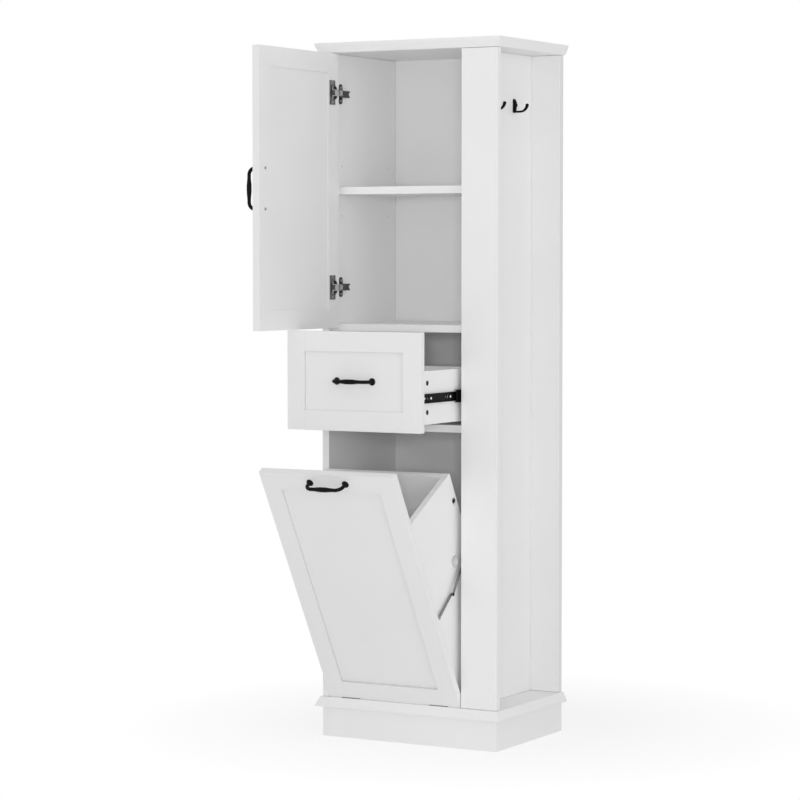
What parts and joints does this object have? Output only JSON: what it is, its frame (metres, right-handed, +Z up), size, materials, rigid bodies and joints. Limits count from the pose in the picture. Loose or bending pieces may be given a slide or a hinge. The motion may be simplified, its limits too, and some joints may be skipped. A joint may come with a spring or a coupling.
{
  "type": "tall bathroom cabinet",
  "caption": "Tall narrow white cabinet with a framed door, a drawer and a tilt-out laundry hamper, and an open side niche with robe hooks, shown open.",
  "frame": {"origin": "middle of the underside of the rear plinth board, on the floor at the cabinet's back", "axes": "+Z up, +X to the right seen from the front, +Y from the front to the back"},
  "size_m": [0.51, 0.7042, 1.7],
  "materials": {
    "white_front": "satin white paint",
    "white_board": "satin white paint",
    "white_backing": "white faced thin board",
    "black_metal": "semi gloss black",
    "dark_hardware": "black zinc",
    "nickel_hinge": "nickel plated",
    "screw_steel": "zinc plated",
    "cam_plastic": "dark"
  },
  "bodies": {
    "cabinet": {"adjustable_shelf": "white_board", "back_panel": "white_backing", "base_board": "white_board", "cabinet_floor": "white_board", "drawer_floor": "white_board", "front_stile": "white_board", "hamper_hinge_fixed_leaves": "dark_hardware", "hinge_arms": "nickel_hinge", "hinge_plates": "nickel_hinge", "left_side_panel": "white_board", "plinth_back": "white_board", "plinth_front": "white_board", "plinth_left": "white_board", "plinth_right": "white_board", "rear_stile": "white_board", "right_side_panel": "white_board", "robe_hooks": "black_metal", "shelf_pins": "screw_steel", "slide_outer_members": "dark_hardware", "stay_cabinet_screw": "screw_steel", "top_board": "white_board"},
    "door": {"door_bottom_rail": "white_front", "door_handle": "black_metal", "door_handle_screws": "screw_steel", "door_hinge_cups": "nickel_hinge", "door_hinge_links": "nickel_hinge", "door_left_stile": "white_front", "door_panel": "white_front", "door_right_stile": "white_front", "door_top_rail": "white_front"},
    "drawer": {"drawer_back": "white_board", "drawer_bottom": "white_backing", "drawer_bottom_rail": "white_front", "drawer_cam_locks": "cam_plastic", "drawer_handle": "black_metal", "drawer_handle_screws": "screw_steel", "drawer_left_side": "white_board", "drawer_left_stile": "white_front", "drawer_panel": "white_front", "drawer_right_side": "white_board", "drawer_right_stile": "white_front", "drawer_top_rail": "white_front", "slide_inner_members": "dark_hardware"},
    "hamper": {"hamper_back": "white_board", "hamper_bottom": "white_board", "hamper_bottom_rail": "white_front", "hamper_cam_locks": "cam_plastic", "hamper_handle": "black_metal", "hamper_handle_screws": "screw_steel", "hamper_hinge_moving_leaves": "dark_hardware", "hamper_left_side": "white_board", "hamper_left_stile": "white_front", "hamper_panel": "white_front", "hamper_right_side": "white_board", "hamper_right_stile": "white_front", "hamper_top_rail": "white_front", "stay_hamper_screw": "screw_steel"},
    "slide_middle": {"slide_middle_members": "dark_hardware"},
    "stay_lower": {"stay_lower_link": "dark_hardware"},
    "stay_upper": {"stay_upper_link": "dark_hardware"}
  },
  "joints": [
    {"name": "door_swing", "type": "hinge", "parent": "cabinet", "child": "door", "pos_m": [-0.21405, -0.33815, 1.3405], "axis": [0, 0, -1], "range_deg": [-90, 15]},
    {"name": "drawer_slide", "type": "slide", "parent": "cabinet", "child": "drawer", "axis": [0, 1, 0], "range_m": [-0.104, 0.196]},
    {"name": "slide_runner", "type": "slide", "parent": "cabinet", "child": "slide_middle", "axis": [0, 1, 0], "range_m": [-0.052, 0.098]},
    {"name": "hamper_tilt", "type": "hinge", "parent": "cabinet", "child": "hamper", "pos_m": [0, -0.34, 0.1], "axis": [1, 0, 0], "range_deg": [-29.5, 0]},
    {"name": "stay_upper_pivot", "type": "hinge", "parent": "cabinet", "child": "stay_upper", "pos_m": [0.141, -0.3076, 0.4746], "axis": [1, 0, 0], "range_deg": [0, 68.8]},
    {"name": "stay_lower_pivot", "type": "hinge", "parent": "hamper", "child": "stay_lower", "pos_m": [0.136, -0.43714, 0.32653], "axis": [1, 0, 0], "range_deg": [0, 13.1]}
  ],
  "couplings": [
    {"joint": "slide_runner", "follows": "drawer_slide", "ratio": 0.5},
    {"joint": "stay_upper_pivot", "follows": "hamper_tilt", "ratio": -2.332},
    {"joint": "stay_lower_pivot", "follows": "hamper_tilt", "ratio": -0.444}
  ]
}
